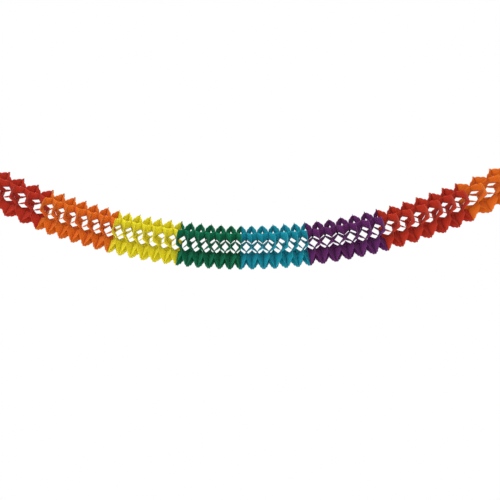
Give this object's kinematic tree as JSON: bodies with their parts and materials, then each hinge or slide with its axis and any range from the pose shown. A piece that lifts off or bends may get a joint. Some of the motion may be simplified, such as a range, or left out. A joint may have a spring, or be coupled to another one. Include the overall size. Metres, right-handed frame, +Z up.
{
  "type": "paper garland",
  "caption": "Tissue-paper bellows garland in rainbow colour sections, pulled open and hung in a curve, with a thread hole in the card at each end.",
  "frame": {"origin": "centre of the thread hole in the left end card, at the card's inner face", "axes": "+X along the span to the right end, +Y to the back, +Z up"},
  "size_m": [2.1945, 0.1662, 0.5077],
  "materials": {
    "red_tissue": "matte",
    "orange_tissue": "matte",
    "yellow_tissue": "matte",
    "green_tissue": "matte",
    "teal_tissue": "matte",
    "purple_tissue": "matte",
    "end_card": "matte"
  },
  "bodies": {
    "root": {"left_end_card": "end_card", "red_left_pair_1": "red_tissue", "red_left_pair_2": "red_tissue", "red_left_pair_3": "red_tissue", "red_left_pair_4": "red_tissue", "red_left_pair_5": "red_tissue", "red_left_pair_6": "red_tissue", "orange_left_pair_1": "orange_tissue", "orange_left_pair_2": "orange_tissue", "orange_left_pair_3": "orange_tissue", "orange_left_pair_4": "orange_tissue", "orange_left_pair_5": "orange_tissue", "orange_left_pair_6": "orange_tissue", "yellow_pair_1": "yellow_tissue", "yellow_pair_2": "yellow_tissue", "yellow_pair_3": "yellow_tissue", "yellow_pair_4": "yellow_tissue", "yellow_pair_5": "yellow_tissue", "yellow_pair_6": "yellow_tissue", "green_pair_1": "green_tissue", "green_pair_2": "green_tissue", "green_pair_3": "green_tissue", "green_pair_4": "green_tissue", "green_pair_5": "green_tissue", "green_pair_6": "green_tissue", "teal_pair_1": "teal_tissue", "teal_pair_2": "teal_tissue", "teal_pair_3": "teal_tissue", "teal_pair_4": "teal_tissue", "teal_pair_5": "teal_tissue", "teal_pair_6": "teal_tissue", "purple_pair_1": "purple_tissue", "purple_pair_2": "purple_tissue", "purple_pair_3": "purple_tissue", "purple_pair_4": "purple_tissue", "purple_pair_5": "purple_tissue", "purple_pair_6": "purple_tissue", "red_right_pair_1": "red_tissue", "red_right_pair_2": "red_tissue", "red_right_pair_3": "red_tissue", "red_right_pair_4": "red_tissue", "red_right_pair_5": "red_tissue", "red_right_pair_6": "red_tissue", "orange_right_pair_1": "orange_tissue", "orange_right_pair_2": "orange_tissue", "orange_right_pair_3": "orange_tissue", "orange_right_pair_4": "orange_tissue", "orange_right_pair_5": "orange_tissue", "orange_right_pair_6": "orange_tissue", "right_end_card": "end_card"}
  },
  "joints": []
}
